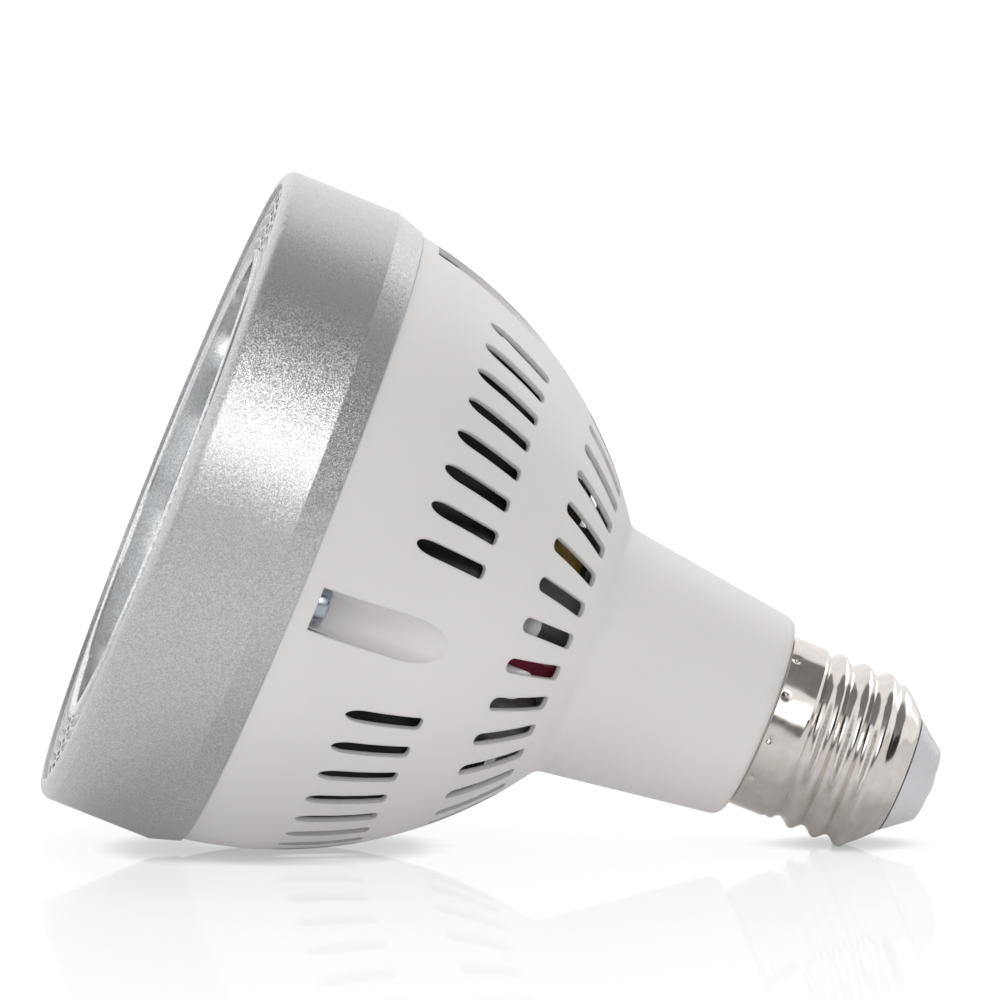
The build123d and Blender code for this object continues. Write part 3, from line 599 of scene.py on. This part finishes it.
def thread_rise(height, bearing):
    """How far the rolled thread stands out of its root."""
    phase = (height - CREST_HEIGHT) / THREAD_PITCH - (bearing - CREST_BEARING) / tau
    run_in = ease(height, SKIRT_END, SKIRT_END + THREAD_RUN_IN)
    run_out = 1 - ease(height, THREAD_END - THREAD_RUN_IN / 4, THREAD_END + THREAD_RUN_IN / 2)
    return (THREAD_CREST - THREAD_ROOT) * run_in * run_out * (1 + cos(tau * phase)) / 2


def crimp_sink(setback, bearing):
    """How far the punch marks, and the pull between them, sink the skirt near its edge."""
    step = tau / PUNCH_COUNT
    off = (bearing - PUNCH_BEARING + step / 2) % step - step / 2
    away = ((off * SKIRT_RADIUS) ** 2 + (setback - PUNCH_SETBACK) ** 2) / PUNCH_RADIUS ** 2
    pull = CRIMP_PULL * (1 + cos(off * PUNCH_COUNT)) / 2 * exp(-((setback / CRIMP_REACH) ** 2))
    return PUNCH_DEPTH * exp(-away) + pull


def threaded_shell():
    """A spun shell whose wall is pushed out along the thread and in at the punch marks."""
    low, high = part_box("cap_shell")
    shape = bmesh.new()
    outline = [
        (SKIRT_RADIUS, low.z + CAP_GAP),
        (SKIRT_RADIUS, SKIRT_END),
        (THREAD_ROOT, THREAD_START),
        (THREAD_ROOT, THREAD_END),
        *SHOULDER_POINTS,
        *CONE_POINTS,
        (MOUTH_RADIUS, high.z),
    ]
    verts = [shape.verts.new((radius, 0, height)) for radius, height in outline]
    edges = [shape.edges.new(pair) for pair in zip(verts, verts[1:])]
    skirt, root, thread, cone = edges[0], edges[1], edges[2], edges[5]
    for edge, cuts in ((skirt, SKIRT_CUTS), (root, ROOT_CUTS), (thread, THREAD_CUTS), (cone, CONE_CUTS)):
        bmesh.ops.subdivide_edges(shape, edges=[edge], cuts=cuts)
    profile = shape.verts[:] + shape.edges[:]
    bmesh.ops.spin(
        shape, geom=profile, axis=(0, 0, 1), cent=(0, 0, 0), angle=tau, steps=CAP_STEPS, use_merge=True
    )
    bmesh.ops.remove_doubles(shape, verts=shape.verts, dist=SAME_PLACE)
    bmesh.ops.recalc_face_normals(shape, faces=shape.faces)
    for vert in shape.verts:
        bearing = atan2(vert.co.y, vert.co.x)
        radius = vert.co.xy.length
        swell = thread_rise(vert.co.z, bearing) - crimp_sink(vert.co.z - low.z, bearing)
        vert.co.xy *= (radius + swell) / radius
    return shape


def nickel_plate():
    material, shader = new_material("nickel_plate")
    cloud = noise(material, NICKEL_PATCH, detail=3.0)
    tone = between(material, cloud.outputs["Fac"], NICKEL_DARK, NICKEL_LIGHT)
    join(material, tone, shader.inputs["Base Color"])
    shader.inputs["Metallic"].default_value = 1.0
    join(material, spread(material, cloud.outputs["Fac"], low=0.12, high=0.18), shader.inputs["Roughness"])
    raise_bump(material, shader, noise(material, DRAWN_WAVE, detail=1.0).outputs["Fac"], DRAWN_HEIGHT)
    return material


cap = new_piece("threaded_cap_shell", threaded_shell(), nickel_plate(), "nickel_plate", "cap_shell")
cap_wall = cap.modifiers.new("drawn_wall", "SOLIDIFY")
cap_wall.thickness = CAP_WALL
cap_wall.offset = -1.0


# Cap insulator and centre contact: a pale grey cone moulded over the shell's mouth, and a tinned
# brass button riveted through its end.

pale_grey_insulator = mottled(
    "pale_grey_insulator", (0.65, 0.655, 0.68), contrast=0.03, patch=2 * MM, roughness=0.3
)
give(pale_grey_insulator, "cap_insulator")
tinned_contact = mottled(
    "tinned_contact", (0.62, 0.61, 0.58), contrast=0.1, patch=0.8 * MM, roughness=0.3, metallic=1.0
)
give(tinned_contact, "centre_contact")


# Floor: a glossy white table under the lamp, which lies on its dome and on the thread's last crest.
# It is white to the camera, with a faint real shadow from its matt share and a painted contact shadow,
# and gives back a faint mirror image. To other rays it glows faintly, as stand-in bounce light.

PHOTO_AZIMUTH = radians(124.15)
LEAN = radians(22.1)
FLOOR_TURN = radians(5.0)
FLOOR_REACH = 53.3 * MM
FLOOR_SIZE = 6.0
FLOOR_NEAR = 0.91
FLOOR_FADE = (0.15, 0.60)
FLOOR_MATT = 0.13
FLOOR_GLOSS = 0.42
FLOOR_ROUGHNESS = 0.03
FLOOR_IOR = 1.45
MIRROR_REACH = 0.24
CREVICE_REACH = 5 * MM
CREVICE_SAMPLES = 4
CREVICE_SHADE = 0.50
CREVICE_RANGE = (0.20, 0.80)
BOUNCE_TONE = (0.85, 0.66)
BOUNCE_GLOW = (0.20, 0.14)
axis = Vector((0, 0, 1))
towards_camera = Vector((sin(PHOTO_AZIMUTH), -cos(PHOTO_AZIMUTH), 0))
picture_up = towards_camera.cross(axis)
side_up = picture_up * cos(FLOOR_TURN) + towards_camera * sin(FLOOR_TURN)
floor_up = side_up * cos(LEAN) - axis * sin(LEAN)


def mix_shaders(material, share, first, second):
    """The first shader where the share is 0, and the second where it is 1."""
    node = material.node_tree.nodes.new("ShaderNodeMixShader")
    for source, target in zip((share, first, second), node.inputs):
        join(material, source, target)
    return node.outputs[0]


def add_shaders(material, first, second):
    node = material.node_tree.nodes.new("ShaderNodeAddShader")
    for source, target in zip((first, second), node.inputs):
        join(material, source, target)
    return node.outputs[0]


def white_floor():
    """To the camera, white with a painted contact shadow and a mirror image; to other rays, a glowing matt
    sheet.
    """
    material = bpy.data.materials.new("white_floor")
    material.use_nodes = True
    nodes = material.node_tree.nodes
    nodes.remove(nodes["Principled BSDF"])
    place = nodes.new("ShaderNodeTexCoord").outputs["Object"]
    path = nodes.new("ShaderNodeLightPath")
    light = nodes.new("ShaderNodeEmission")
    far = spread(material, vectors(material, "LENGTH", place), FLOOR_NEAR, 1.0, *FLOOR_FADE)
    # Painted shadow: the floor's glow dims where ambient occlusion finds the lamp close by.
    crevice = add_node(material, "ShaderNodeAmbientOcclusion", Distance=CREVICE_REACH)
    crevice.samples = CREVICE_SAMPLES
    painted_contact_shadow = spread(material, crevice.outputs["AO"], CREVICE_SHADE, 1.0, *CREVICE_RANGE)
    join(material, vectors(material, "MULTIPLY", far, painted_contact_shadow), light.inputs["Strength"])
    matt = add_node(material, "ShaderNodeBsdfDiffuse", Color=(FLOOR_MATT, FLOOR_MATT, FLOOR_MATT, 1))
    seen = add_shaders(material, light.outputs[0], matt.outputs[0])
    gloss = add_node(material, "ShaderNodeBsdfGlossy", Roughness=FLOOR_ROUGHNESS, Color=(1, 1, 1, 1))
    ahead = vectors(material, "DOT_PRODUCT", place, towards_camera)
    fading = spread(material, ahead, FLOOR_GLOSS, 0.0, start=0.0, end=MIRROR_REACH)
    glancing = add_node(material, "ShaderNodeFresnel", IOR=FLOOR_IOR)
    mirror = vectors(material, "MULTIPLY", fading, glancing.outputs["Fac"])
    shiny = mix_shaders(material, mirror, seen, gloss.outputs[0])
    # Painted light: to other rays the floor glows faintly, as stand-in bounce light; shiny surfaces see it
    # darker and glowing less.
    in_metal = path.outputs["Is Glossy Ray"]
    bounce = nodes.new("ShaderNodeBsdfDiffuse")
    join(material, spread(material, in_metal, *BOUNCE_TONE, start=0, end=1), bounce.inputs["Color"])
    glow = nodes.new("ShaderNodeEmission")
    join(material, spread(material, in_metal, *BOUNCE_GLOW, start=0, end=1), glow.inputs["Strength"])
    lit_and_glowing = add_shaders(material, bounce.outputs[0], glow.outputs[0])
    front = mix_shaders(material, path.outputs["Is Camera Ray"], lit_and_glowing, shiny)
    clear = nodes.new("ShaderNodeBsdfTransparent").outputs[0]
    behind = nodes.new("ShaderNodeNewGeometry").outputs["Backfacing"]
    one_sided = mix_shaders(material, behind, front, clear)
    join(material, one_sided, nodes["Material Output"].inputs["Surface"])
    return material


def studio_card(name, facing, centre, across, along, material):
    """A flat stage sheet that faces a direction, with its size across and along the lamp's axis."""
    mesh = bpy.data.meshes.new(name)
    shape = bmesh.new()
    bmesh.ops.create_grid(shape, x_segments=1, y_segments=1, size=0.5)
    bmesh.ops.scale(shape, vec=(across, along, 1), verts=shape.verts)
    lay = facing.to_track_quat("Z", "Y").to_matrix().to_4x4()
    bmesh.ops.transform(shape, matrix=Matrix.Translation(centre) @ lay, verts=shape.verts)
    shape.to_mesh(mesh)
    shape.free()
    mesh.materials.append(material)
    card = bpy.data.objects.new(name, mesh)
    bpy.context.scene.collection.objects.link(card)
    return card


studio_card("floor", floor_up, floor_up * -FLOOR_REACH, FLOOR_SIZE, FLOOR_SIZE, white_floor())


# Studio: a wide soft light overhead, a softbox a little above the camera with a weak fill beside it,
# a white surround, and cards of one grey or bright level that only shiny surfaces show.

LAMP_MIDDLE = axis * 55 * MM
AMBIENT = 0.36


def soft_box(name, direction, distance, size, level):
    """A square area lamp that aims at the lamp's middle; a matt face square to it gains the level."""
    data = bpy.data.lights.new(name, "AREA")
    data.size = size
    data.energy = level * pi ** 2 * distance ** 2
    lamp = bpy.data.objects.new(name, data)
    away = direction.normalized()
    lamp.location = LAMP_MIDDLE + away * distance
    lamp.rotation_mode = "QUATERNION"
    lamp.rotation_quaternion = away.to_track_quat("Z", "Y")
    lamp.visible_camera = False
    bpy.context.scene.collection.objects.link(lamp)
    return lamp


def above_camera(angle):
    """The direction at an angle above the line from the lamp to the camera."""
    return towards_camera * cos(radians(angle)) + picture_up * sin(radians(angle))


up_and_back = floor_up - towards_camera * 0.35 - axis * 0.15
overhead = soft_box("overhead", up_and_back, distance=1.0, size=0.9, level=0.74)
overhead.visible_glossy = False
soft_box("front", above_camera(25) + axis * 0.04, distance=1.3, size=0.50, level=0.16)
fill = soft_box("fill", above_camera(38) - axis * 0.2, distance=1.4, size=0.7, level=0.035)
fill.visible_glossy = False


def shine_card(name, angle, aside, distance, across, along, level):
    """A sheet of one level that only shiny surfaces show, at an angle above and aside of the camera."""
    material = bpy.data.materials.new(name + "_grey")
    material.use_nodes = True
    nodes = material.node_tree.nodes
    nodes.remove(nodes["Principled BSDF"])
    glow = add_node(material, "ShaderNodeEmission", Strength=level)
    join(material, glow.outputs[0], nodes["Material Output"].inputs["Surface"])
    away = above_camera(angle) * cos(radians(aside)) + axis * sin(radians(aside))
    card = studio_card(name, -away, LAMP_MIDDLE + away * distance, across, along, material)
    card.visible_camera = False
    card.visible_diffuse = False
    card.visible_transmission = False
    card.visible_shadow = False


shine_card("overhead_flag", angle=79, aside=0, distance=0.70, across=0.76, along=1.6, level=0.22)
shine_card("room", angle=-20, aside=0, distance=1.35, across=2.1, along=3.0, level=0.60)
shine_card("sill", angle=2, aside=0, distance=1.0, across=0.24, along=1.6, level=0.14)
shine_card("side_flag", angle=22, aside=46, distance=0.9, across=1.3, along=0.60, level=0.03)
shine_card("rear_glow", angle=130, aside=30, distance=0.9, across=0.5, along=0.4, level=2.0)


def white_world():
    world = bpy.data.worlds.new("white_world")
    world.use_nodes = True
    nodes, links = world.node_tree.nodes, world.node_tree.links
    ambient = nodes["Background"]
    ambient.inputs["Color"].default_value = (1, 1, 1, 1)
    ambient.inputs["Strength"].default_value = AMBIENT
    seen = nodes.new("ShaderNodeBackground")
    seen.inputs["Color"].default_value = (1, 1, 1, 1)
    seen.inputs["Strength"].default_value = 1.0
    path = nodes.new("ShaderNodeLightPath")
    share = path.outputs["Is Camera Ray"]
    for ray in ("Is Glossy Ray", "Is Transmission Ray"):
        either = nodes.new("ShaderNodeMath")
        either.operation = "MAXIMUM"
        links.new(share, either.inputs[0])
        links.new(path.outputs[ray], either.inputs[1])
        share = either.outputs[0]
    choice = nodes.new("ShaderNodeMixShader")
    links.new(share, choice.inputs[0])
    links.new(ambient.outputs[0], choice.inputs[1])
    links.new(seen.outputs[0], choice.inputs[2])
    links.new(choice.outputs[0], nodes["World Output"].inputs["Surface"])
    return world


bpy.context.scene.world = white_world()
bpy.context.scene.view_settings.view_transform = "Standard"


# Camera: a long lens level with the lamp and a little ahead of its rim, rolled so that the table
# lies level in the picture.

ROLL = radians(21.76)
CAMERA_DISTANCE = 1.6
CAMERA_AHEAD = 82 * MM
LENS = 400.3
SENSOR = 36.0
AIM_ALONG = 46.35 * MM
AIM_UP = 15.5 * MM
camera_data = bpy.data.cameras.new("photo_camera")
camera_data.lens = LENS
camera_data.sensor_width = SENSOR
camera_data.clip_end = 20.0
camera = bpy.data.objects.new("photo_camera", camera_data)
camera.location = towards_camera * CAMERA_DISTANCE - axis * CAMERA_AHEAD
back = (camera.location - axis * AIM_ALONG - picture_up * AIM_UP).normalized()
rolled_up = picture_up * cos(ROLL) - axis * sin(ROLL)
right = rolled_up.cross(back).normalized()
camera.rotation_mode = "QUATERNION"
camera.rotation_quaternion = Matrix((right, back.cross(right), back)).transposed().to_quaternion()
bpy.context.scene.collection.objects.link(camera)
bpy.context.scene.camera = camera
